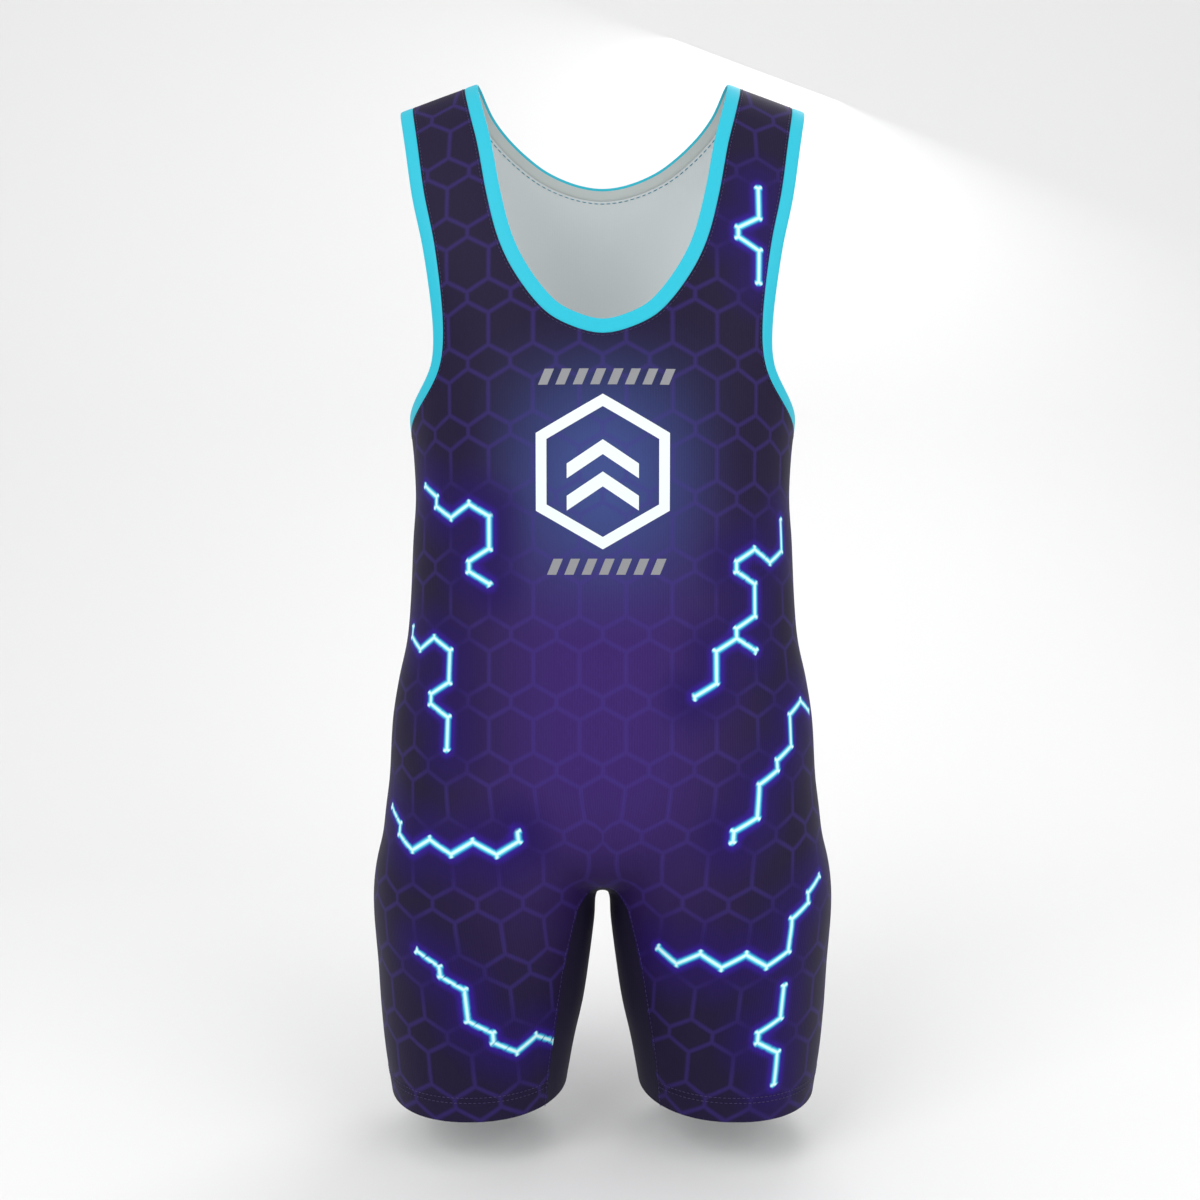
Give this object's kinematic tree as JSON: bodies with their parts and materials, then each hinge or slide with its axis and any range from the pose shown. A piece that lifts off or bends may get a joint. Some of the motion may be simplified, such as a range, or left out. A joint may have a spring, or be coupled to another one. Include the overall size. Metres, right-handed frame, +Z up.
{
  "type": "wrestling singlet",
  "caption": "Sleeveless one-piece wrestling singlet with short legs, dark stretch knit with a honeycomb print and cyan bands at neck and armholes, in its worn form.",
  "frame": {"origin": "On the wearer's shoulder line, midway between the two straps, in the middle of the garment front to back.", "axes": "+Z up the wearer, -Y to the front, +X to the wearer's left."},
  "size_m": [0.3802, 0.219, 0.8307],
  "materials": {
    "printed_knit": "soft stretch knit with a printed honeycomb",
    "plain_knit": "plain dark stretch knit",
    "band_knit": "smooth cyan elastic band, pale grey reverse"
  },
  "bodies": {
    "root": {"front_panel": "printed_knit", "back_panel": "printed_knit", "crotch_gusset": "plain_knit", "neck_band": "band_knit", "armhole_band_left": "band_knit", "armhole_band_right": "band_knit"}
  },
  "joints": []
}
